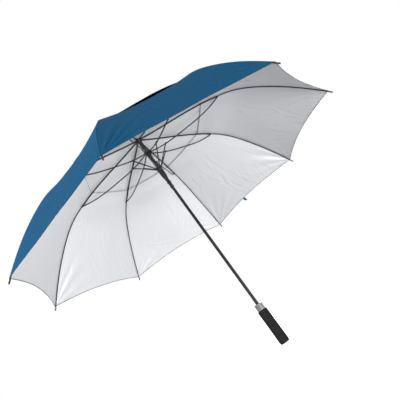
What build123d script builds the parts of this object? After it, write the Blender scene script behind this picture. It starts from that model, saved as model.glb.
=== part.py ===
from build123d import *
import math
import os

# Automatic golf umbrella, open. Millimetres, +Z up the shaft, handle end at z = 0.
# Eight equal ribs stand at multiples of 45 degrees from +X.

RIBS = 8
STEP = 360 / RIBS
HALF = math.radians(STEP / 2)

# Heights and the main radii
CROWN_Z = 909.0
SHAFT_R = 5.5
SHAFT_WALL = 0.8
TIP_R = 650.0
JOINT_R = 337.0
VENT_R = 273.0
CAP_R = 352.0
RUN_FIT = 0.06

# Rib line in the rib's own plane: radius, height below the crown's pivots
RIB_INNER = [(12, -2), (126, -22), (252, -44), (JOINT_R, -67.5)]
RIB_OUTER = [(JOINT_R, -67.5), (419, -103), (493, -160.5), (566, -233), (TIP_R, -335)]
RIB_W = 4.0
RIB_HALF_H = 2.0
ROD_W = 2.8
ROD_HALF_H = 1.4
TIP_CAP = 13.0

# Pivots: radius, height below the crown's pivots
CROWN_PIN = (12.0, -2.0)
UPPER_PIN = (10.6, -66.7)
LOWER_PIN = (10.6, -145.4)
STRUT_PIN = (78.6, -81.5)
PIN_R = 0.8
PIN_FIT = 0.05
EYE_R = 1.9

# Stretchers lie beside the ribs and the struts, so they pass them as the umbrella folds
STRETCHER_LINE = [UPPER_PIN, STRUT_PIN, (157, -85), (252, -83.5), (JOINT_R, -67.5)]
STRETCHER_T = 3.9
STRETCHER_W = 3.2
STRUT_W = 3.0
STRUT_FLOOR = 11.0
LINK_HALF_H = 1.7

# Canopy, measured square to the rib line
SKIN = 1.2
GORE_LIFT = 3.2
CAP_LIFT = 6.4
SEAM_GAP = 0.15
HEM_R = 640.0
SCALLOP = 16.0
STRAP_AT = 46.5
STRAP_W = 10.0
STRAP_T = 0.8

# Handle
GRIP_R = 17.5
GRIP_LENGTH = 127.0
CORE_R = 11.9
COLLAR_R = 14.0
COLLAR_TOP = 151.0
CAVITY_R = 12.8
CATCH_Z = 140.0
CATCH_T = 1.5
BUTTON_R = 4.5

# Lower runner: the tail plugs into the collar when the umbrella is closed
TAIL_R = 6.5
TAIL_END = -95.0
LIP_R = 7.8


def pick(solids, name):
    """Exports one node."""
    export_step(Compound(label=name, children=list(solids)), f"parts/{name}.step")


def about(solid, k):
    """A piece made in the plane of the rib along +X, turned to rib k."""
    return Rot(0, 0, STEP * k) * solid


def lifted(points, lift):
    """The line moved square to itself: positive is away from the ground."""
    moved = []
    for i, (r, z) in enumerate(points):
        r0, z0 = points[max(i - 1, 0)]
        r1, z1 = points[min(i + 1, len(points) - 1)]
        run = math.hypot(r1 - r0, z1 - z0)
        moved.append((r - lift * (z1 - z0) / run, z + lift * (r1 - r0) / run))
    return moved


def finely(points, steps):
    """Points spread along the smooth line through the given ones."""
    line = Spline(*[(r, z) for r, z in points])
    return [((line @ (i / steps)).X, (line @ (i / steps)).Y) for i in range(steps + 1)]


def plate(outline, t, width):
    """A closed outline of (radius, height) pairs from the crown, made width thick and centred at t."""
    with BuildSketch(Plane.XZ) as s:
        with BuildLine():
            upper, lower = outline
            Spline(*[(r, CROWN_Z + z) for r, z in upper])
            Spline(*[(r, CROWN_Z + z) for r, z in lower])
            Line((upper[0][0], CROWN_Z + upper[0][1]), (lower[0][0], CROWN_Z + lower[0][1]))
            Line((upper[-1][0], CROWN_Z + upper[-1][1]), (lower[-1][0], CROWN_Z + lower[-1][1]))
        make_face()
    return Pos(0, t, 0) * extrude(s.sketch, width / 2, both=True)


def band(points, half_height, t, width):
    """A bent bar whose middle line runs through the points."""
    return plate((lifted(points, half_height), lifted(points, -half_height)), t, width)


def disc(at, radius, t, width):
    """A round eye or pin across the rib's plane."""
    return Pos(at[0], t, CROWN_Z + at[1]) * Rot(90, 0, 0) * Cylinder(radius, width)


def turned(profile):
    """A solid of revolution about the shaft from (radius, height) pairs."""
    with BuildSketch(Plane.XZ) as s:
        with BuildLine():
            Polyline(*profile, close=True)
        make_face()
    return revolve(s.sketch, Axis.Z)


def tube(outer, inner, low, high):
    return turned([(inner, low), (outer, low), (outer, high), (inner, high)])


# Frame

def shaft():
    return tube(SHAFT_R, SHAFT_R - SHAFT_WALL, 6, CROWN_Z + 20)


def slots(pin, t, width, inner, low, high):
    """The eight slots of a hub, as one tool per rib."""
    box = Box(20, width, high - low, align=(Align.MIN, Align.CENTER, Align.MIN))
    return [about(Pos(inner, t, CROWN_Z + low) * box, k) for k in range(RIBS)]


def pins(pin, t, width):
    return [about(disc(pin, PIN_R, t, width), k) for k in range(RIBS)]


def slotted(body, pin, t, width, inner, low, high):
    """A hub with a slot and a cross pin for each link."""
    for slot in slots(pin, t, width, inner, low, high):
        body -= slot
    for pin_piece in pins(pin, t, width + 1.0):
        body += pin_piece
    return body


def top_notch():
    z = CROWN_Z
    body = turned([
        (SHAFT_R, z - 40), (7.5, z - 40), (7.5, z - 10), (10, z - 7),
        (14.3, z - 7), (14.3, z + 1.5), (13.8, z + 2), (SHAFT_R, z + 2),
    ])
    return slotted(body, CROWN_PIN, 0, RIB_W + 0.8, 8.8, -12, 0.9)


def upper_runner():
    z = CROWN_Z
    bore = SHAFT_R + RUN_FIT
    body = turned([
        (bore, z - 78), (9.5, z - 78), (9.5, z - 73), (12.8, z - 73), (12.8, z - 61),
        (9.0, z - 61), (8.0, z - 55), (bore, z - 55),
    ])
    for relief in slots(UPPER_PIN, 0.1, STRUT_W + 0.8, STRUT_FLOOR, -73.2, -60):
        body -= relief
    return slotted(body, UPPER_PIN, STRETCHER_T, STRETCHER_W + 0.7, 7.8, -73.2, -60)


def lower_runner():
    z = CROWN_Z + LOWER_PIN[1]
    bore = SHAFT_R + RUN_FIT
    body = turned([
        (bore, z + TAIL_END), (TAIL_R, z + TAIL_END), (LIP_R, z - 92), (LIP_R, z - 88),
        (TAIL_R, z - 86.5), (TAIL_R, z - 71.5), (8.75, z - 71.5), (8.75, z - 68.5),
        (TAIL_R, z - 68.5), (7.0, z - 54), (9.75, z - 38), (10.5, z - 22), (10.5, z - 8),
        (12.4, z - 6), (12.4, z + 5), (9.5, z + 5), (9.5, z + 7.5), (bore, z + 7.5),
    ])
    return slotted(body, LOWER_PIN, 0, STRUT_W + 0.8, 7.8, LOWER_PIN[1] - 4, LOWER_PIN[1] + 8)


def opening_spring():
    """A few open turns between the two runners."""
    top = CROWN_Z - 78.6
    low = CROWN_Z + LOWER_PIN[1] + 8.1
    turns = 6
    path = Helix((top - low) / turns, top - low, 8.6, center=(0, 0, low))
    with BuildSketch(Plane(origin=path @ 0, z_dir=path % 0)) as s:
        Circle(0.55)
    return sweep(s.sketch, path)


def ferrule():
    z = CROWN_Z
    body = turned([
        (0, z + 20.5), (SHAFT_R, z + 20.5), (SHAFT_R, z + 7), (7.4, z + 7), (7.4, z + 12),
        (6.6, z + 14), (4.6, z + 92), (3.6, z + 95), (0, z + 95),
    ])
    return body


def ferrule_ring():
    z = CROWN_Z
    return turned([
        (SHAFT_R, z + 4.4), (10.5, z + 4.4), (11.0, z + 5.0), (9.0, z + 7), (SHAFT_R, z + 7),
    ])


def canopy_washer():
    return tube(12.0, SHAFT_R, CROWN_Z + 2, CROWN_Z + 3.2)


# Linkage

def rib_inner():
    line = finely(RIB_INNER, 10)
    bar = band(line, RIB_HALF_H, 0, RIB_W)
    bar += disc(CROWN_PIN, EYE_R, 0, RIB_W)
    bar += disc(RIB_INNER[-1], 2.4, 0, RIB_W)
    hollow = [p for p in line if 20 < p[0] < JOINT_R - 20]
    channel = (lifted(hollow, RIB_HALF_H - 0.9), lifted(hollow, -RIB_HALF_H - 2))
    bar -= plate(channel, 0, RIB_W - 1.5)
    bar -= disc(CROWN_PIN, PIN_R + PIN_FIT, 0, RIB_W + 1)
    mouth = Box(12, 1.9, 12, align=(Align.MIN, Align.CENTER, Align.CENTER))
    bar -= Pos(JOINT_R - 3.4, 0, CROWN_Z + RIB_INNER[-1][1]) * mouth
    bar += disc(RIB_INNER[-1], PIN_R, 0, RIB_W)
    return bar


def rib_outer():
    """A thin rod with a flat eye in the inner rib's fork, and a plastic tip cap."""
    line = finely(RIB_OUTER, 14)
    start = RIB_OUTER[0]
    rod = band(line, ROD_HALF_H, 0, ROD_W)
    rod -= disc(start, 4.2, 0, ROD_W + 1)
    tongue = band(line[:2], 1.1, 0, 1.3) & disc(start, 6.0, 0, 1.3)
    rod += tongue
    rod += disc(start, 2.0, 0, 1.3)
    rod -= disc(start, PIN_R + PIN_FIT, 0, ROD_W)
    end = line[-1]
    back = line[-2]
    run = math.hypot(end[0] - back[0], end[1] - back[1])
    way = ((end[0] - back[0]) / run, (end[1] - back[1]) / run)
    base = (end[0] - way[0] * TIP_CAP, end[1] - way[1] * TIP_CAP)
    plane = Plane(
        origin=(base[0], 0, CROWN_Z + base[1]), x_dir=(0, 1, 0), z_dir=(way[0], 0, way[1])
    )
    rod -= plane * Box(12, 12, 40, align=(Align.CENTER, Align.CENTER, Align.MIN))
    socket = 3.0
    cap = plane * Pos(0, 0, -socket) * Cylinder(
        2.4, TIP_CAP + socket - 2.4, align=(Align.CENTER, Align.CENTER, Align.MIN)
    )
    cap += plane * Pos(0, 0, TIP_CAP - 2.4) * Sphere(2.4)
    cap -= rod
    return [rod, cap]


def stretcher():
    bar = band(finely(STRETCHER_LINE, 10), LINK_HALF_H, STRETCHER_T, STRETCHER_W)
    bar += disc(UPPER_PIN, EYE_R, STRETCHER_T, STRETCHER_W)
    bar += disc(STRETCHER_LINE[-1], EYE_R, STRETCHER_T, STRETCHER_W)
    bar += disc(STRUT_PIN, 2.8, STRETCHER_T, STRETCHER_W)
    bar -= disc(UPPER_PIN, PIN_R + PIN_FIT, STRETCHER_T, STRETCHER_W + 1)
    return bar


def strut():
    middle = tuple((a + b) / 2 for a, b in zip(LOWER_PIN, STRUT_PIN))
    bar = band([LOWER_PIN, (middle[0] - 0.7, middle[1] + 0.7), STRUT_PIN], LINK_HALF_H, 0, STRUT_W)
    bar += disc(LOWER_PIN, EYE_R, 0, STRUT_W)
    bar += disc(STRUT_PIN, 2.8, 0.2, 3.2)
    bar -= disc(LOWER_PIN, PIN_R + PIN_FIT, 0, STRUT_W + 1)
    return bar


# Canopy

def shell(line, lift, low_r):
    """A thin bent sheet whose section is the line, wide enough for one gore, along +X."""
    along = [(r * math.cos(HALF), z) for r, z in lifted(line, lift)]
    above = [(r * math.cos(HALF), z) for r, z in lifted(line, lift + SKIN)]
    return plate((above, along), 0, 2 * TIP_R)


def wedge(gap, inner, outer, sag):
    """The plan of one gore: straight seams, a straight inner hem and a curved outer hem."""
    def corner(r, side):
        return (r * math.cos(HALF) - gap * math.sin(HALF), side * (r * math.sin(HALF) - gap * math.cos(HALF)))
    with BuildSketch() as s:
        with BuildLine():
            Line(corner(inner, -1), corner(outer, -1))
            if sag:
                bottom = (outer * math.cos(HALF) - sag, 0)
                ThreePointArc(corner(outer, -1), bottom, corner(outer, 1))
            else:
                Line(corner(outer, -1), corner(outer, 1))
            Line(corner(outer, 1), corner(inner, 1))
            Line(corner(inner, 1), corner(inner, -1))
        make_face()
    return extrude(s.sketch, 2 * CROWN_Z)


def gore():
    """One panel of the lower canopy, centred on +X."""
    line = finely(RIB_INNER, 8)[4:] + finely(RIB_OUTER, 8)[1:]
    return shell(line, GORE_LIFT, VENT_R) & wedge(SEAM_GAP, VENT_R, HEM_R, SCALLOP)


def vent_canopy():
    """The upper canopy, clamped at the crown and covering the vent."""
    joint = RIB_INNER[-1]
    past = (joint[0] + 40, joint[1] - 15.5)
    line = [(4, -3.2), (9, -3.2), (14, -3.2), (22, -4.0), (60, -10.3)] + finely(RIB_INNER, 6)[2:] + [past]
    panel = shell(line, CAP_LIFT, 0) & wedge(0, 0.5, CAP_R, 8)
    whole = about(panel, 0.5)
    for k in range(1, RIBS):
        whole += about(panel, k + 0.5)
    whole -= Pos(0, 0, CROWN_Z) * Cylinder(SHAFT_R, 40)
    whole -= ferrule_ring()
    whole -= canopy_washer()
    return whole


def tie_strap():
    """The closing strap, sewn outside the hem of the gore between the second and third tips."""
    line = finely(RIB_OUTER, 8)
    lift = GORE_LIFT + SKIN + 0.3
    along = [(r * math.cos(HALF), z) for r, z in lifted(line, lift)]
    above = [(r * math.cos(HALF), z) for r, z in lifted(line, lift + STRAP_T)]
    hem = HEM_R * math.cos(HALF) - SCALLOP
    area = Pos(hem - 8, STRAP_AT, CROWN_Z) * Box(26, STRAP_W, 900, align=(Align.MIN, Align.CENTER, Align.CENTER))
    return about(plate((above, along), 0, 2 * TIP_R) & area, 1.5)


# Handle

def handle_core():
    return turned([
        (SHAFT_R, 6), (CORE_R, 6), (CORE_R, GRIP_LENGTH), (9, GRIP_LENGTH),
        (9, GRIP_LENGTH - 14), (SHAFT_R, GRIP_LENGTH - 14),
    ])


def end_plug():
    return turned([
        (0, 2), (CORE_R, 2), (CORE_R, 6), (4.6, 6), (4.6, 26), (0, 26),
    ])


def handle_grip():
    """The soft sleeve, with a slightly rounded end and fine lengthwise grooves."""
    body = turned([
        (CORE_R, 2), (CORE_R, GRIP_LENGTH), (GRIP_R - 1, GRIP_LENGTH), (GRIP_R, GRIP_LENGTH - 2),
        (GRIP_R, 3), (GRIP_R - 3, 0), (0, 0), (0, 2),
    ])
    return body


def handle_collar():
    z = GRIP_LENGTH
    body = turned([
        (SHAFT_R, z - 14), (9, z - 14), (9, z), (COLLAR_R, z), (COLLAR_R, COLLAR_TOP - 1.5),
        (COLLAR_R - 1.5, COLLAR_TOP), (9.3, COLLAR_TOP), (9.3, COLLAR_TOP - 2),
        (CAVITY_R, COLLAR_TOP - 2), (CAVITY_R, z + 2), (SHAFT_R, z + 2),
    ])
    hole = Pos(0, 10, CATCH_Z + CATCH_T / 2) * Rot(-90, 0, 0)
    body -= hole * Cylinder(BUTTON_R + 0.3, 10, align=(Align.CENTER, Align.CENTER, Align.MIN))
    return body


def release_button():
    """The push button and the catch plate that it slides."""
    plate_piece = Pos(0, 1.0, CATCH_Z) * Cylinder(
        10.6, CATCH_T, align=(Align.CENTER, Align.CENTER, Align.MIN)
    )
    for y in (1.5, 2.0):
        plate_piece -= Pos(0, y, CATCH_Z) * Cylinder(
            8.4, CATCH_T, align=(Align.CENTER, Align.CENTER, Align.MIN)
        )
    middle = CATCH_Z + CATCH_T / 2
    knob = Pos(0, 11.0, middle) * Rot(-90, 0, 0) * Cylinder(
        BUTTON_R, 6.5, align=(Align.CENTER, Align.CENTER, Align.MIN)
    )
    knob = fillet(knob.edges().filter_by(GeomType.CIRCLE).sort_by(Axis.Y)[-1], 1.5)
    return knob + plate_piece


def all_parts():
    parts = {
        "shaft": [shaft()],
        "top_notch": [top_notch()],
        "upper_runner": [upper_runner()],
        "lower_runner": [lower_runner()],
        "opening_spring": [opening_spring()],
        "ferrule": [ferrule()],
        "ferrule_ring": [ferrule_ring()],
        "canopy_washer": [canopy_washer()],
        "vent_canopy": [vent_canopy()],
        "tie_strap": [tie_strap()],
        "handle_core": [handle_core()],
        "end_plug": [end_plug()],
        "handle_grip": [handle_grip()],
        "handle_collar": [handle_collar()],
        "release_button": [release_button()],
    }
    link_solids = {
        "rib_inner": [rib_inner()],
        "rib_outer": rib_outer(),
        "stretcher": [stretcher()],
        "strut": [strut()],
    }
    panel = gore()
    for k in range(RIBS):
        for name, solids in link_solids.items():
            parts[f"{name}_{k + 1}"] = [about(s, k) for s in solids]
        parts[f"gore_{k + 1}"] = [about(panel, k + 0.5)]
    return parts


os.makedirs("parts", exist_ok=True)
for node, solids in all_parts().items():
    pick(solids, node)
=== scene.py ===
import math

import bpy
import numpy as np
from mathutils import Matrix, Vector

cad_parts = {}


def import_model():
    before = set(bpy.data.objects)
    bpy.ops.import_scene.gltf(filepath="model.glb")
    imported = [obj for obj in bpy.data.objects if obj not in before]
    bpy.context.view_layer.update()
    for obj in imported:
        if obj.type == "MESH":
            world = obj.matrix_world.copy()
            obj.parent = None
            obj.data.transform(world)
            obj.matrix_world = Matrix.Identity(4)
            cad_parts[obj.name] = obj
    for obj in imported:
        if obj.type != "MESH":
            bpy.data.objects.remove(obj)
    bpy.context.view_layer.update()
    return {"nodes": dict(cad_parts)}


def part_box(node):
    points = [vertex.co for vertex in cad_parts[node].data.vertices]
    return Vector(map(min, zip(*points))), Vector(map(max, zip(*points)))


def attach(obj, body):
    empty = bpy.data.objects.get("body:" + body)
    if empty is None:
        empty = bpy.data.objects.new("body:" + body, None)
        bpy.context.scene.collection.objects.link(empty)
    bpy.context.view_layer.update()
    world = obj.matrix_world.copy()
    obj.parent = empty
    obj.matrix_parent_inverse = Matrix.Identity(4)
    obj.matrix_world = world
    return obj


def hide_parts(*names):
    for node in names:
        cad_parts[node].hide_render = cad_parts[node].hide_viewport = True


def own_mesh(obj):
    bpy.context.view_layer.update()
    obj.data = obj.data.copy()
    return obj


# An open golf umbrella. Metres, +Z up the shaft, handle end at z = 0.
# Ribs stand at multiples of 45 degrees from +X.
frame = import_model()

RIBS = 8
STEP = 2 * math.pi / RIBS
HALF = STEP / 2
CROWN_Z = 0.909

# The rib line, as radius and height below the crown, and the two canopies that follow it
RIB_LINE = [(0.004, -0.002), (0.012, -0.002), (0.126, -0.022), (0.252, -0.044), (0.337, -0.0675),
            (0.419, -0.103), (0.493, -0.1605), (0.566, -0.233), (0.650, -0.335)]
CLOTH = 0.0005
GORE_LIFT = 0.0033
CAP_LIFT = 0.0066
CAP_TIED = 0.0022
SKIRT_R = 0.285
VENT_R = 0.273
ELBOW_R = 0.337
HEM_R = 0.640
CAP_R = 0.352
CAP_START = 0.0075
SCALLOP = 0.013
CAP_SCALLOP = 0.004
SEAM_HALF = 0.011
SEAM_MOST = 0.45
HEM_TURN = 0.0014

# The rib line's slope near each hem, as the radius gained per metre of cloth
TIP_SLANT = 0.68
CAP_SLANT = 0.95
CLOTH_SLANT = 0.8
HEM_SLANT = 0.75

# The cloth's texture: metres of cloth per metre of radius, and how far apart the gores lie in it
CLOTH_PER_RADIUS = 1.12
GORE_SHIFT = 0.7
THREADS_PER_METRE = 1100
STITCHES_PER_METRE = 330
STITCH_INSET = 0.0050
STITCH_HALF = 0.0004

# How deep the folds are at each panel's two tips, first rib and second rib
TIP_PULL = [(1.3, 0.6), (1.9, 1.2), (0.9, 0.8), (0.7, 1.9), (0.6, 0.9), (0.8, 1.2), (2.7, 0.9), (0.9, 1.0)]

# How far each panel's vent hem stands off, and how much more towards its second rib
VENT_STAND = [(0.0110, 0.2), (0.0085, -0.3), (0.0120, 0.1), (0.0090, 0.3), (0.0110, -0.2), (0.0065, -0.5),
              (0.0095, 0.7), (0.0100, 0.1)]

# How many creases a panel has, and how much they are raised together
CREASE_COUNT = 26
CREASE_GAIN = 2.2


def natural_spline(points):
    """A smooth function through the points, with its slope."""
    x, y = np.array(points).T
    n, h = len(x), np.diff(x)
    a, b = np.eye(n), np.zeros(n)
    for i in range(1, n - 1):
        a[i, i - 1: i + 2] = h[i - 1], 2 * (h[i - 1] + h[i]), h[i]
        b[i] = 3 * ((y[i + 1] - y[i]) / h[i] - (y[i] - y[i - 1]) / h[i - 1])
    c = np.linalg.solve(a, b)

    def at(q):
        i = np.clip(np.searchsorted(x, q) - 1, 0, n - 2)
        d = (c[i + 1] - c[i]) / (3 * h[i])
        s = (y[i + 1] - y[i]) / h[i] - h[i] * (2 * c[i] + c[i + 1]) / 3
        e = q - x[i]
        return y[i] + s * e + c[i] * e**2 + d * e**3, s + 2 * c[i] * e + 3 * d * e**2

    return at


rib_height = natural_spline(RIB_LINE)


# ---------------------------------------------------------------- cloth shape

def smooth(x, low, high):
    t = np.clip((x - low) / (high - low), 0, 1)
    return t * t * (3 - 2 * t)


def from_corner(r, across, side, end, slant):
    """Distance and angle from a panel's corner on one of its ribs: the angle is 0 along the seam."""
    reach = (end - r) / slant
    sideways = np.abs(across - side) * r * math.sin(HALF)
    return np.hypot(reach, sideways), np.arctan2(sideways, np.maximum(reach, 1e-4))


def tip_folds(r, across, gore):
    """Folds that fan out from each rib's tip, where the hem pulls. Those at some tips are deeper."""
    total = 0
    for side in (-1, 1):
        far, turn = from_corner(r, across, side, HEM_R, TIP_SLANT)
        depth = TIP_PULL[gore % RIBS][0 if side < 0 else 1]
        shift = 1.9 * gore + 0.8 * side
        bent = 1.6 * np.sin(3.1 * turn + shift)
        wave = np.sin(16 * turn + bent + shift) + 0.5 * np.sin(8 * turn - shift)
        reach = np.exp(-(far / (0.075 + 0.030 * min(depth, 1.6))) ** 2)
        fade = reach * smooth(far, 0.003, 0.016) * smooth(turn, 0.03, 0.22)
        total = total + 0.0135 * depth * far * wave * fade
    return total


def make_creases(gore):
    """Soft creases scattered over one panel: place, direction, length, width and height."""
    dice = np.random.RandomState(100 + gore)
    lines = []
    for _ in range(CREASE_COUNT):
        r = 0.36 + 0.27 * dice.rand() ** 0.7
        across = 1.7 * dice.rand() - 0.85
        lean = dice.normal(0, 0.45)
        length = 0.030 + 0.045 * dice.rand()
        width = 0.0045 + 0.0045 * dice.rand()
        height = 0.00030 + 0.00055 * dice.rand()
        lines.append((r, across, lean, length, width, height))
    return lines


CREASES = [make_creases(g) for g in range(RIBS)]


def creases(r, across, gore):
    """The sum of the panel's creases, as a height off the skin."""
    x, y = across * r * math.sin(HALF), r / CLOTH_SLANT
    total = 0
    for r0, a0, lean, length, width, height in CREASES[gore % RIBS]:
        u, v = x - a0 * r0 * math.sin(HALF), y - r0 / CLOTH_SLANT
        run = u * math.sin(lean) + v * math.cos(lean)
        off = u * math.cos(lean) - v * math.sin(lean) + 1.5 * run * run
        total = total + height * (off / width) * np.exp(-((off / width) ** 2) - (run / length) ** 2)
    return CREASE_GAIN * total


def ripples(r, across, gore):
    """Low swells over the whole panel, each panel with its own."""
    x, y = across * r * math.sin(HALF), r / CLOTH_SLANT
    shift = 2.3 * gore
    soft = np.sin(23 * x + 11 * y + shift) * np.sin(17 * y - 9 * x + 1.7 * shift)
    steep = np.sin(95 * x - 30 * y + 4 * soft - shift) * (0.5 + 0.5 * np.sin(21 * x + 27 * y + shift))
    return 0.0011 * soft + 0.00018 * steep


def gore_sag(r, across, gore):
    """The lower canopy between its ribs: pulled in, with folds at its tips."""
    inward = 0.0045 + 0.0065 * smooth(r, 0.285, 0.345) + 0.0020 * smooth(r, 0.38, 0.50)
    inward = inward - 0.0055 * smooth(r, 0.54, 0.64)
    seamless = 1 - across**2
    middle = -inward + ripples(r, across, gore) + creases(r, across, gore)
    return middle * seamless + tip_folds(r, across, gore)


def cap_sag(r, across, gore):
    """The vent canopy, which lifts clear of the lower one at its hem."""
    stand, skew = VENT_STAND[gore % RIBS]
    loose = smooth(r, 0.285, 0.352)
    inward = 0.0040 * smooth(r, 0.03, 0.15) - stand * loose * (1 + skew * across)
    folds = 0
    for side in (-1, 1):
        far, turn = from_corner(r, across, side, CAP_R, CAP_SLANT)
        shift = 1.3 * gore + side
        fade = np.exp(-(far / 0.075) ** 2) * smooth(far, 0.003, 0.016) * smooth(turn, 0.03, 0.3)
        folds = folds + 0.013 * far * np.sin(17 * turn + shift) * fade
    return (-inward + 0.6 * ripples(r, across, gore)) * (1 - across**2) + folds


def cap_lift(r):
    """The vent canopy's height over the rib line, less towards its tied corner."""
    return CAP_LIFT - CAP_TIED * smooth(r, 0.325, 0.352)


def gore_lift(r):
    return GORE_LIFT + 0 * r


def surface(r, across, gore, lift, sag):
    """Points of a canopy's inner skin. across is -1 on the gore's first rib and 1 on its second."""
    height, slope = rib_height(r)
    tilt = slope / math.cos(HALF)
    length = np.sqrt(1 + tilt**2)
    out, up = -tilt / length, 1 / length
    high = lift(r)
    flat_d = r * math.cos(HALF) + high * out
    side = across * flat_d * math.tan(HALF)
    push = sag(r, across, gore)
    d, z = flat_d + push * out, CROWN_Z + height + (high + push) * up
    turn = (gore + 0.5) * STEP
    x = d * math.cos(turn) - side * math.sin(turn)
    y = d * math.sin(turn) + side * math.cos(turn)
    return np.stack([x, y, z], -1)


def with_normals(r, across, gore, lift, sag):
    """The skin's points and its outward normals, which point up on the whole of a panel."""
    e = 2e-4
    p = surface(r, across, gore, lift, sag)
    along = surface(r + e, across, gore, lift, sag) - surface(r - e, across, gore, lift, sag)
    over = surface(r, across + e, gore, lift, sag) - surface(r, across - e, gore, lift, sag)
    n = np.cross(along, over)
    n /= np.linalg.norm(n, axis=-1, keepdims=True)
    return p, n * np.sign(n[..., 2].mean())


def hem(across, end, scallop):
    """The radius parameter of a hem that curves in between its ribs."""
    return end - scallop / math.cos(HALF) * (1 - across**2)


def rows(first, last, count, turn_first, turn_last):
    """Radii from one edge to the other, closer together towards an outer hem.

    A turned hem has a narrow row of its own."""
    low = [np.zeros_like(last)] if not turn_first else [np.zeros_like(last), HEM_TURN / (last - first)]
    high = [np.ones_like(last)] if not turn_last else [1 - HEM_TURN / (last - first), np.ones_like(last)]
    start, stop = low.pop(), high[0]
    steps = [i / count for i in range(count)]
    if turn_last:
        steps = [1 - (1 - t) ** 1.5 for t in steps]
    middle = [start + (stop - start) * t for t in steps]
    share = np.stack(low + middle + high)
    return first + (last - first) * share


# ---------------------------------------------------------------- meshes

def new_object(name, mesh):
    piece = bpy.data.objects.new(name, mesh)
    bpy.context.scene.collection.objects.link(piece)
    return piece


# The order of a cloth piece's materials
TOP_SLOT = 0
LINING_SLOT = 1
HEM_SLOT = 2
# The slot for the painted shade under the vent canopy's skirt
SHADE_SLOT = 3
NO_SHADE_ROW = 10**6


def cloth_solid(name, inner, normal, uv, edge, hems, materials, shade_row=NO_SHADE_ROW):
    """Two skins a cloth's thickness apart and the rim that joins them, with true normals on the skins.

    The inner skin is lined up to the given row, and from there on painted near-black: painted shade in the
    gap under the vent canopy's skirt."""
    nr, nc = inner.shape[:2]
    outer = inner + CLOTH * normal
    count = nr * nc
    verts = np.concatenate([inner.reshape(-1, 3), outer.reshape(-1, 3)])
    idx = np.arange(count).reshape(nr, nc)
    quads = np.stack([idx[:-1, :-1], idx[:-1, 1:], idx[1:, 1:], idx[1:, :-1]], -1).reshape(-1, 4)
    at, beside, below = verts[quads[0, 0]], verts[quads[0, 1]], verts[quads[0, 3]]
    flip = np.dot(np.cross(beside - at, below - at), normal.reshape(-1, 3)[quads[0, 0]]) > 0
    up = quads if flip else quads[:, ::-1]
    down = up[:, ::-1]
    loop = np.concatenate([idx[0, :-1], idx[:-1, -1], idx[-1, :0:-1], idx[:0:-1, 0]])
    after = np.roll(loop, -1)
    rim = np.stack([loop, after, after + count, loop + count], -1)
    rim = rim if flip else rim[:, ::-1]
    faces = np.concatenate([up + count, down, rim])
    mesh = bpy.data.meshes.new(name)
    mesh.from_pydata(verts.tolist(), [], faces.tolist())
    for material in materials:
        mesh.materials.append(material)
    row_of = np.repeat(np.arange(nr - 1), nc - 1)
    turned = np.zeros(len(down), bool)
    lining = np.where(row_of >= shade_row, SHADE_SLOT, LINING_SLOT)
    if hems[0]:
        turned |= row_of == 0
    if hems[1]:
        turned |= row_of == nr - 2
    under = np.where(turned, HEM_SLOT, lining)
    slot = np.concatenate([np.full(len(up), TOP_SLOT), under, np.full(len(rim), HEM_SLOT)])
    mesh.polygons.foreach_set("material_index", slot)
    mesh.polygons.foreach_set("use_smooth", np.ones(len(faces), bool))
    flat = faces.reshape(-1)
    for layer_name, values in (("cloth", uv), ("edge", edge)):
        layer = mesh.uv_layers.new(name=layer_name)
        both = np.concatenate([values.reshape(-1, 2)] * 2)
        layer.data.foreach_set("uv", both[flat].reshape(-1))
    n = normal.reshape(-1, 3)
    loop_normals = np.concatenate([-n, n])[flat]
    corner = verts[rim]
    side = np.cross(corner[:, 1] - corner[:, 0], corner[:, 3] - corner[:, 0])
    side /= np.maximum(np.linalg.norm(side, axis=1, keepdims=True), 1e-12)
    loop_normals[-4 * len(rim):] = np.repeat(side, 4, axis=0)
    mesh.validate(clean_customdata=False)
    mesh.normals_split_custom_set(loop_normals.tolist())
    return new_object(name, mesh)


def ringed_mesh(name, verts, rings, sides):
    """A closed form whose points lie in rings, smooth along its side and flat at its two ends."""
    faces = []
    for i in range(rings - 1):
        for j in range(sides):
            k = (j + 1) % sides
            faces.append((i * sides + j, i * sides + k, (i + 1) * sides + k, (i + 1) * sides + j))
    faces.append(tuple(range(sides))[::-1])
    faces.append(tuple((rings - 1) * sides + j for j in range(sides)))
    mesh = bpy.data.meshes.new(name)
    mesh.from_pydata(verts, [], faces)
    mesh.polygons.foreach_set("use_smooth", [True] * (len(faces) - 2) + [False] * 2)
    mesh.validate()
    return new_object(name, mesh)


def tube_mesh(name, points, radius, sides):
    """A closed round bar along the points."""
    points = np.array(points, float)
    way = np.gradient(points, axis=0)
    way /= np.linalg.norm(way, axis=1, keepdims=True)
    ref = np.array([0, 0, 1.0]) if abs(way[0, 2]) < 0.9 else np.array([1.0, 0, 0])
    a = np.cross(way, ref)
    a /= np.linalg.norm(a, axis=1, keepdims=True)
    b = np.cross(way, a)
    turns = np.linspace(0, 2 * math.pi, sides, endpoint=False)
    ring = a[:, None] * np.cos(turns)[None, :, None] + b[:, None] * np.sin(turns)[None, :, None]
    verts = (points[:, None] + radius * ring).reshape(-1, 3)
    return ringed_mesh(name, verts.tolist(), len(points), sides)


def turned_mesh(name, profile, sides, groove):
    """A turned form about the shaft from (radius, height) pairs, its radius cut by groove(angle, height)."""
    angles = np.linspace(0, 2 * math.pi, sides, endpoint=False)
    verts = []
    for r, z in profile:
        for a in angles:
            cut = groove(a, z) if r > 0.001 else 0
            verts.append(((r - cut) * math.cos(a), (r - cut) * math.sin(a), z))
    return ringed_mesh(name, verts, len(profile), sides)


# ---------------------------------------------------------------- materials

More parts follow.
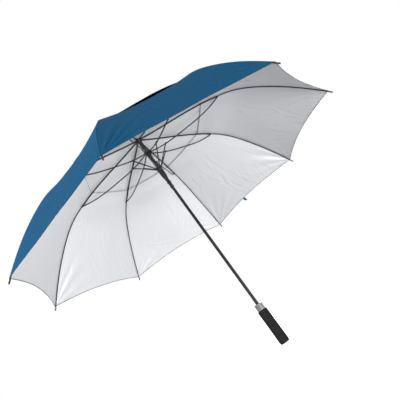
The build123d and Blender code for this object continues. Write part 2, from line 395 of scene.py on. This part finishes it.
def material(name, colour, roughness, metallic=0.0, specular=0.5, coat=0.0, coat_roughness=0.1):
    """A principled material whose constant values sit on the shader itself."""
    m = bpy.data.materials.new(name)
    m.use_nodes = True
    shader = m.node_tree.nodes["Principled BSDF"]
    shader.inputs["Base Color"].default_value = (*colour, 1)
    shader.inputs["Roughness"].default_value = roughness
    shader.inputs["Metallic"].default_value = metallic
    shader.inputs["Specular IOR Level"].default_value = specular
    shader.inputs["Coat Weight"].default_value = coat
    shader.inputs["Coat Roughness"].default_value = coat_roughness
    return m


def node(m, kind, **values):
    n = m.node_tree.nodes.new(kind)
    for key, value in values.items():
        if key in n.inputs:
            n.inputs[key].default_value = value
        else:
            setattr(n, key, value)
    return n


def link(m, a, out, b, into):
    m.node_tree.links.new(a.outputs[out], b.inputs[into])


def vary_colour(m, source, low, high, scale, detail=4.0):
    """Two close tones, mixed by noise."""
    shader = m.node_tree.nodes["Principled BSDF"]
    noise = node(m, "ShaderNodeTexNoise", Scale=scale, Detail=detail)
    link(m, *source, noise, "Vector")
    ramp = node(m, "ShaderNodeValToRGB")
    ramp.color_ramp.elements[0].position = 0.35
    ramp.color_ramp.elements[1].position = 0.68
    ramp.color_ramp.elements[0].color = (*low, 1)
    ramp.color_ramp.elements[1].color = (*high, 1)
    link(m, noise, "Fac", ramp, "Fac")
    link(m, ramp, "Color", shader, "Base Color")
    return ramp


def vary_roughness(m, source, low, high, scale):
    """A roughness that drifts between two values, by noise."""
    shader = m.node_tree.nodes["Principled BSDF"]
    noise = node(m, "ShaderNodeTexNoise", Scale=scale, Detail=3.0)
    link(m, *source, noise, "Vector")
    span = node(m, "ShaderNodeMapRange")
    span.inputs["To Min"].default_value = low
    span.inputs["To Max"].default_value = high
    link(m, noise, "Fac", span, "Value")
    link(m, span, "Result", shader, "Roughness")


def bump(m, height, out, strength, distance, before=None):
    """A bump on the shader's normal, on top of an earlier one if given."""
    shader = m.node_tree.nodes["Principled BSDF"]
    b = node(m, "ShaderNodeBump", Strength=strength, Distance=distance)
    link(m, height, out, b, "Height")
    if before:
        link(m, before, "Normal", b, "Normal")
    link(m, b, "Normal", shader, "Normal")
    return b


def object_coordinates(m):
    return node(m, "ShaderNodeTexCoord"), "Object"


def weave(m, uv):
    """A plain weave: over and under threads in both directions."""
    split = node(m, "ShaderNodeSeparateXYZ")
    link(m, uv, "UV", split, "Vector")
    waves = []
    for axis in ("X", "Y"):
        scaled = node(m, "ShaderNodeMath", operation="MULTIPLY")
        scaled.inputs[1].default_value = THREADS_PER_METRE * 2 * math.pi
        link(m, split, axis, scaled, 0)
        wave = node(m, "ShaderNodeMath", operation="SINE")
        link(m, scaled, 0, wave, 0)
        waves.append(wave)
    mixed = node(m, "ShaderNodeMath", operation="MULTIPLY")
    link(m, waves[0], 0, mixed, 0)
    link(m, waves[1], 0, mixed, 1)
    return mixed


def stitch_line(m, uv, edge):
    """A dashed ridge that runs beside the outer hem: 1 on a stitch, 0 elsewhere."""
    where = node(m, "ShaderNodeSeparateXYZ")
    link(m, edge, "UV", where, "Vector")
    near = node(m, "ShaderNodeMath", operation="COMPARE")
    near.inputs[1].default_value = STITCH_INSET
    near.inputs[2].default_value = STITCH_HALF
    link(m, where, "X", near, 0)
    run = node(m, "ShaderNodeSeparateXYZ")
    link(m, uv, "UV", run, "Vector")
    scaled = node(m, "ShaderNodeMath", operation="MULTIPLY")
    scaled.inputs[1].default_value = STITCHES_PER_METRE * 2 * math.pi
    link(m, run, "X", scaled, 0)
    wave = node(m, "ShaderNodeMath", operation="SINE")
    link(m, scaled, 0, wave, 0)
    dash = node(m, "ShaderNodeMath", operation="GREATER_THAN")
    dash.inputs[1].default_value = -0.4
    link(m, wave, 0, dash, 0)
    both = node(m, "ShaderNodeMath", operation="MULTIPLY")
    link(m, near, 0, both, 0)
    link(m, dash, 0, both, 1)
    return both


def cloth_material(name, low, high, roughness, specular, weave_depth=0.0002, metallic=0.0, seam=None):
    """Woven cloth in two close tones, with a crinkle and stitches beside its hem. seam is the colour of a
    painted shade line along the seams.
    """
    m = material(name, high, roughness, metallic, specular)
    uv = node(m, "ShaderNodeUVMap", uv_map="cloth")
    edge = node(m, "ShaderNodeUVMap", uv_map="edge")
    ramp = vary_colour(m, (uv, "UV"), low, high, 240.0, 6.0)
    vary_roughness(m, (uv, "UV"), roughness - 0.04, roughness + 0.05, 90.0)
    crinkle = node(m, "ShaderNodeTexNoise", Scale=70.0, Detail=4.0, Roughness=0.55)
    link(m, uv, "UV", crinkle, "Vector")
    first = bump(m, crinkle, "Fac", 0.10, 0.0012)
    second = bump(m, weave(m, uv), 0, 0.25, weave_depth, first)
    bump(m, stitch_line(m, uv, edge), 0, 0.6, 0.0005, second)
    # Paint a dark line of shade along the seams
    if seam:
        painted_seam_shade(m, edge, ramp, seam)
    return m


def painted_seam_shade(m, edge, ramp, seam_shade_tone):
    """Painted shade: a fine dark line along the groove where two panels are sewn together."""
    split = node(m, "ShaderNodeSeparateXYZ")
    link(m, edge, "UV", split, "Vector")
    near = node(m, "ShaderNodeMapRange")
    for key, value in (("From Min", 0.0004), ("From Max", 0.0016), ("To Min", 1.0), ("To Max", 0.0)):
        near.inputs[key].default_value = value
    link(m, split, "Y", near, "Value")
    mix = m.node_tree.nodes.new("ShaderNodeMixRGB")
    link(m, near, "Result", mix, "Fac")
    link(m, ramp, "Color", mix, "Color1")
    mix.inputs["Color2"].default_value = (*seam_shade_tone, 1)
    link(m, mix, "Color", m.node_tree.nodes["Principled BSDF"], "Base Color")


def solid_material(name, low, high, roughness, grain, bump_depth, **more):
    """Metal, plastic or foam in two close tones, with a fine grain."""
    m = material(name, high, roughness, **more)
    source = object_coordinates(m)
    vary_colour(m, source, low, high, grain)
    vary_roughness(m, source, roughness - 0.06, roughness + 0.08, grain * 2)
    fine = node(m, "ShaderNodeTexNoise", Scale=grain * 12, Detail=3.0)
    link(m, *source, fine, "Vector")
    bump(m, fine, "Fac", 0.25, bump_depth)
    return m


# The blue cloth's seams carry a near-black line: painted shade in the seams' grooves
BLUE = cloth_material("blue_cloth", (0.0075, 0.066, 0.146), (0.0100, 0.077, 0.164), 0.62, 0.03,
                      seam=(0.002, 0.018, 0.045))
SILVER = cloth_material("silver_lining", (0.66, 0.670, 0.685), (0.70, 0.710, 0.725), 0.38, 0.5,
                        weave_depth=0.0001, metallic=0.22)
HEM = cloth_material("vent_hem", (0.10, 0.17, 0.27), (0.14, 0.21, 0.32), 0.6, 0.3)
DARK_HEM = cloth_material("outer_hem", (0.020, 0.045, 0.080), (0.030, 0.060, 0.100), 0.6, 0.2)
# Painted shade: a near-black underside for the vent canopy's skirt, in place of the silver lining, standing
# in for the shade in the gap over the lower canopy
SKIRT_SHADE = cloth_material("painted_skirt_shade", (0.002, 0.008, 0.018), (0.003, 0.011, 0.023), 0.7, 0.05)
STEEL = solid_material("black_steel", (0.010, 0.010, 0.011), (0.018, 0.018, 0.020), 0.33, 40.0, 0.0001)
ROD = solid_material("black_rod", (0.011, 0.011, 0.012), (0.020, 0.020, 0.022), 0.42, 60.0, 0.0001)
PLASTIC = solid_material("black_plastic", (0.008, 0.008, 0.009), (0.014, 0.014, 0.015), 0.28, 50.0, 0.00008,
                         coat=0.25, coat_roughness=0.15)
RUBBER = solid_material("grip_foam", (0.006, 0.006, 0.0065), (0.012, 0.012, 0.0125), 0.78, 90.0, 0.0004,
                        specular=0.2)
CHROME = solid_material("chrome", (0.46, 0.47, 0.48), (0.55, 0.56, 0.57), 0.20, 30.0, 0.00002, metallic=1.0)
SPRING = solid_material("spring_wire", (0.014, 0.014, 0.015), (0.028, 0.028, 0.030), 0.35, 60.0, 0.00005,
                        metallic=0.4)


# ---------------------------------------------------------------- canopy pieces


def cloth_uv(r, across, gore):
    """Metres across the panel, and along it."""
    return np.stack([across * r * math.sin(HALF) + gore * GORE_SHIFT, r * CLOTH_PER_RADIUS], -1)


def edge_distance(r, last, across):
    """Distance to the outer hem and to the nearer seam."""
    return np.stack([(last - r) / HEM_SLANT, (1 - np.abs(across)) * r * math.sin(HALF)], -1)


def seam_share(r):
    """The seam strip's half width as a share of the half panel's, at each radius."""
    return np.minimum(SEAM_HALF, SEAM_MOST * r * math.sin(HALF)) / (r * math.sin(HALF))


def half_grid(first, last_at, columns, count, hems):
    """Radius and across over a half panel, from the seam strip to the gore's middle, on its first rib."""
    t = np.linspace(0, 1, columns) ** 1.5
    r = rows(np.full(columns, first), last_at(-1 + t), count, *hems)
    start = -1 + seam_share(r)
    r = rows_at(first, last_at, start - start * t[None, :], count, hems)
    start = -1 + seam_share(r)
    return r, start - start * t[None, :]


def rows_at(first, last_at, across, count, hems):
    """Radii of a panel whose last row lies at the given across."""
    last = last_at(across[-1])
    return rows(np.full(across.shape[1], first), last, count, *hems)


def strip_grid(first, last_at, columns, count, hems):
    """The same for the seam strip, from the rib to the strip's edge."""
    t = np.linspace(0, 1, columns)
    r = rows_at(first, last_at, (-1 + 0.04 * t)[None, :], count, hems)
    return r, -1 + seam_share(r) * t[None, :]


STRIP_COLUMNS = 4


def canopy(kind, body, first, last_at, lift, sag, hems, size, looks, shade_from=1.0):
    """One ring of the canopy: for each rib a seam strip and two half panels, which fold beside it.

    The underside is painted near-black from the given radius on: painted shade in the gap under the vent
    canopy's skirt. The default radius is one that no panel reaches, so only a panel that is given a radius
    gets it."""
    pieces = []
    count, columns = size
    r, across = half_grid(first, last_at, columns, count, hems)
    strip_r, strip_across = strip_grid(first, last_at, STRIP_COLUMNS, count, hems)
    last = last_at(across[-1])
    strip_last = last_at(strip_across[-1])
    shade_start = int(np.sum(r[:, -1] < shade_from))
    length = arc_length(first, float(last.max()))
    for rib in range(RIBS):
        names = f"{kind}_{{}}_{rib + 1}"
        for side, word in ((1, "left"), (-1, "right")):
            gore = rib if side > 0 else rib - 1
            p, n = with_normals(r, side * across, gore, lift, sag)
            piece = cloth_solid(names.format(word), p, n, cloth_uv(r, side * across, gore),
                                edge_distance(r, last, across), hems, looks, shade_start)
            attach(piece, body.format(rib + 1))
            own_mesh(piece)
            cut_area(first, float(last.mean()), False)
            pieces.append(piece)
        p1, n1 = with_normals(strip_r, -strip_across, rib - 1, lift, sag)
        p2, n2 = with_normals(strip_r, strip_across, rib, lift, sag)
        p = np.concatenate([p1[:, ::-1], p2[:, 1:]], 1)
        n = np.concatenate([n1[:, ::-1], n2[:, 1:]], 1)
        ridge = n1.shape[1] - 1
        n[:, ridge] = n1[:, 0] + n2[:, 0]
        n /= np.linalg.norm(n, axis=-1, keepdims=True)
        uv1 = cloth_uv(strip_r, -strip_across, rib - 1)
        uv2 = cloth_uv(strip_r, strip_across, rib)
        uv = np.concatenate([uv1[:, ::-1], uv2[:, 1:]], 1)
        half_edge = edge_distance(strip_r, strip_last, strip_across)
        edge = np.concatenate([half_edge[:, ::-1], half_edge[:, 1:]], 1)
        seam = cloth_solid(names.format("seam"), p, n, uv, edge, hems, looks, shade_start)
        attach(seam, body.format(rib + 1))
        cut_area(first, float(strip_last.mean()), True)
        pieces.append(seam)
    return pieces


def arc_length(first, last):
    """The rib line's length between two radii."""
    r = np.linspace(first, last, 80)
    slope = rib_height(r)[1]
    return float(np.trapz(np.sqrt(1 + slope**2), r))


def cut_area(first, last, strip):
    """The flat area that the cloth was cut to, from the rib line and the panel's width at each radius."""
    r = np.linspace(first, last, 80)
    slope = rib_height(r)[1] / math.cos(HALF)
    whole = r * math.sin(HALF)
    seam = np.minimum(SEAM_HALF, SEAM_MOST * whole)
    width = 2 * seam if strip else whole - seam
    return float(np.trapz(width * np.sqrt(1 + slope**2) * math.cos(HALF), r))


def outer_hem(across):
    return hem(across, HEM_R, SCALLOP)


def elbow_line(across):
    return np.full(np.shape(across), ELBOW_R)


def cap_hem(across):
    return hem(across, CAP_R, CAP_SCALLOP)


LOWER_OUTER = canopy("gore", "rib_outer_{}", ELBOW_R, outer_hem, gore_lift, gore_sag, (False, True), (96, 52),
                     (BLUE, SILVER, DARK_HEM))
canopy("vent_edge", "rib_inner_{}", VENT_R, elbow_line, gore_lift, gore_sag, (True, False), (14, 52),
       (BLUE, SILVER, HEM))
# The vent canopy is painted near-black underneath from SKIRT_R out: painted shade in the gap over the lower
# canopy
CAP = canopy("vent_cap", "rib_inner_{}", CAP_START, cap_hem, cap_lift, cap_sag, (False, True), (60, 30),
             (BLUE, SILVER, DARK_HEM, SKIRT_SHADE), SKIRT_R)
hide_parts(*[f"gore_{k + 1}" for k in range(RIBS)])
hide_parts("vent_canopy")


# ---------------------------------------------------------------- hard parts

def paint(names, look):
    for name in names:
        mesh = frame["nodes"][name].data
        mesh.materials.clear()
        mesh.materials.append(look)


def every(name):
    return [f"{name}_{k + 1}" for k in range(RIBS)]


paint(["shaft", *every("rib_inner"), *every("stretcher"), *every("strut")], STEEL)
paint(every("rib_outer"), ROD)
paint(["top_notch", "upper_runner", "lower_runner", "ferrule", "ferrule_ring", "canopy_washer",
       "handle_core", "end_plug", "release_button"], PLASTIC)
paint(["handle_collar"], CHROME)


GROOVES = 36
GROOVE_DEPTH = 0.0007


def grip():
    """The soft grip: fine grooves all round, a rounded end and a rolled lip at the collar."""
    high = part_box("handle_grip")[1]
    length, radius = high[2], high[0]
    end = [(0.0, 0.0), (radius * 0.55, 0.0), (radius * 0.80, 0.0003), (radius * 0.90, 0.0012),
           (radius * 0.97, 0.003)]
    body = [(radius, 0.0055 + (length - 0.010) * i / 30) for i in range(31)]
    lip = [(radius * 0.985, length - 0.003), (radius * 0.93, length - 0.001), (radius * 0.80, length)]

    def groove(angle, z):
        z = np.array(z)
        deep = GROOVE_DEPTH * smooth(z, 0.004, 0.010) * (1 - smooth(z, length - 0.010, length - 0.004))
        return float(deep) * (0.5 + 0.5 * math.cos(GROOVES * angle))

    piece = turned_mesh("grip_sleeve", end + body + lip, 288, groove)
    piece.data.materials.append(RUBBER)
    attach(piece, "frame")
    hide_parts("handle_grip")


def spring():
    """The open coil between the runners, its turns closer together at both ends."""
    low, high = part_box("opening_spring")
    wire = 0.0006
    radius = high[0] - wire
    turns, steps = 7.5, 320
    points = []
    for i in range(steps + 1):
        t = i / steps
        rise = 0.5 - 0.5 * math.cos(math.pi * t)
        rise = 0.65 * t + 0.35 * rise
        a = 2 * math.pi * turns * t
        z = low[2] + wire + (high[2] - low[2] - 2 * wire) * rise
        points.append((radius * math.cos(a), radius * math.sin(a), z))
    piece = tube_mesh("runner_spring", points, wire * 1.3, 10)
    piece.data.materials.append(SPRING)
    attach(piece, "lower_runner")
    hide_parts("opening_spring")
    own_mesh(piece)


grip()
spring()


STRAP_GAP = 0.0004


def strap_lift(r):
    return GORE_LIFT + CLOTH + STRAP_GAP + 0 * r


def strap():
    """The tie strap on the hem of one gore: a short blue tab with a slanted end."""
    rib, side = 2, -1
    r_in, r_out, slant = 0.626, 0.6380, 0.0030
    half_width = 0.0056
    middle = 0.19
    down, over = np.meshgrid(np.linspace(0, 1, 10), np.linspace(-1, 1, 7), indexing="ij")
    across = middle + over * half_width / (0.63 * math.sin(HALF))
    r = r_in + (r_out - slant * over - r_in) * down
    p, n = with_normals(r, across, rib - 1, strap_lift, gore_sag)
    piece = cloth_solid("strap_tab", p, n, cloth_uv(r, across, 1), edge_distance(r, r_out, across),
                        (True, True), (BLUE, BLUE, BLUE))
    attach(piece, f"rib_outer_{rib + 1}")
    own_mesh(piece)
    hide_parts("tie_strap")


strap()


# ---------------------------------------------------------------- stage, light, camera

def studio_floor():
    """A pale floor that brightens with distance, so that it has no horizon.

    The front lamp shines from below it, so it casts no shadow."""
    mesh = bpy.data.meshes.new("floor")
    s, z = 40.0, -0.0005
    mesh.from_pydata([(-s, -s, z), (s, -s, z), (s, s, z), (-s, s, z)], [], [(0, 1, 2, 3)])
    floor = new_object("floor", mesh)
    m = material("floor_white", (0.86, 0.86, 0.86), 0.9, specular=0.1)
    shader = m.node_tree.nodes["Principled BSDF"]
    shader.inputs["Emission Color"].default_value = (1, 1, 1, 1)
    place = node(m, "ShaderNodeTexCoord")
    size = node(m, "ShaderNodeVectorMath", operation="LENGTH")
    link(m, place, "Object", size, 0)
    glow = node(m, "ShaderNodeMapRange")
    for key, value in (("From Min", 0.3), ("From Max", 2.5), ("To Min", 0.62), ("To Max", 1.0)):
        glow.inputs[key].default_value = value
    link(m, size, "Value", glow, "Value")
    link(m, glow, "Result", shader, "Emission Strength")
    mesh.materials.append(m)
    floor.visible_diffuse = False
    floor.visible_glossy = False
    floor.visible_shadow = False


# The light from all round: its strength, how much that leans, and towards where
AMBIENT = 0.52
LEAN = 0.25
SKY = (0.97, -0.22, 0.0)


def world():
    """White behind the object, and a dimmer soft light all round it."""
    w = bpy.data.worlds.new("studio")
    bpy.context.scene.world = w
    w.use_nodes = True
    tree = w.node_tree
    soft = tree.nodes["Background"]
    soft.inputs["Color"].default_value = (0.97, 0.98, 1, 1)
    place = tree.nodes.new("ShaderNodeTexCoord")
    lean = tree.nodes.new("ShaderNodeVectorMath")
    lean.operation = "DOT_PRODUCT"
    lean.inputs[1].default_value = SKY
    level = tree.nodes.new("ShaderNodeMapRange")
    dim, bright = AMBIENT * (1 - LEAN), AMBIENT * (1 + LEAN)
    for key, value in (("From Min", -1.0), ("To Min", dim), ("To Max", bright)):
        level.inputs[key].default_value = value
    tree.links.new(place.outputs["Generated"], lean.inputs[0])
    tree.links.new(lean.outputs["Value"], level.inputs["Value"])
    tree.links.new(level.outputs["Result"], soft.inputs["Strength"])
    white = tree.nodes.new("ShaderNodeBackground")
    white.inputs["Color"].default_value = (1, 1, 1, 1)
    white.inputs["Strength"].default_value = 1.0
    path = tree.nodes.new("ShaderNodeLightPath")
    mix = tree.nodes.new("ShaderNodeMixShader")
    tree.links.new(path.outputs["Is Camera Ray"], mix.inputs[0])
    tree.links.new(soft.outputs[0], mix.inputs[1])
    tree.links.new(white.outputs[0], mix.inputs[2])
    tree.links.new(mix.outputs[0], tree.nodes["World Output"].inputs["Surface"])
    bpy.context.scene.view_settings.view_transform = "Standard"


def area_light(name, at, target, size, watts):
    data = bpy.data.lights.new(name, "AREA")
    data.shape = "DISK"
    data.size = size
    data.energy = watts
    lamp = bpy.data.objects.new(name, data)
    lamp.location = at
    lamp.visible_camera = False
    lamp.rotation_euler = (Vector(target) - Vector(at)).to_track_quat("-Z", "Y").to_euler()
    bpy.context.scene.collection.objects.link(lamp)


CAMERA_AT = Vector((0.1924, -1.4310, 0.1322))
CAMERA_TO = Vector((0.0158, 0.0019, 0.5331))
CAMERA_ROLL = math.radians(36.19)


def camera():
    """The photograph's viewing angle, rolled about the line of sight."""
    data = bpy.data.cameras.new("camera")
    data.lens = 37.14
    data.sensor_width = 36.0
    data.shift_x = 0.0073
    data.shift_y = 0.0333
    data.clip_start = 0.01
    eye = bpy.data.objects.new("camera", data)
    look = (CAMERA_TO - CAMERA_AT).normalized()
    right = look.cross(Vector((0, 0, 1))).normalized()
    up = right.cross(look)
    turned_right = right * math.cos(CAMERA_ROLL) - up * math.sin(CAMERA_ROLL)
    turned_up = up * math.cos(CAMERA_ROLL) + right * math.sin(CAMERA_ROLL)
    turn = Matrix((turned_right, turned_up, -look)).transposed()
    eye.matrix_world = Matrix.Translation(CAMERA_AT) @ turn.to_4x4()
    bpy.context.scene.collection.objects.link(eye)
    bpy.context.scene.camera = eye


studio_floor()
world()
area_light("front", (1.80, -2.65, -1.30), (-0.05, 0, 0.75), 1.8, 150)
area_light("left", (-2.3, -2.0, 2.2), (-0.1, 0, 0.85), 0.8, 125)
area_light("back", (1.0, 2.9, 2.4), (0.05, 0, 0.85), 1.4, 95)
camera()
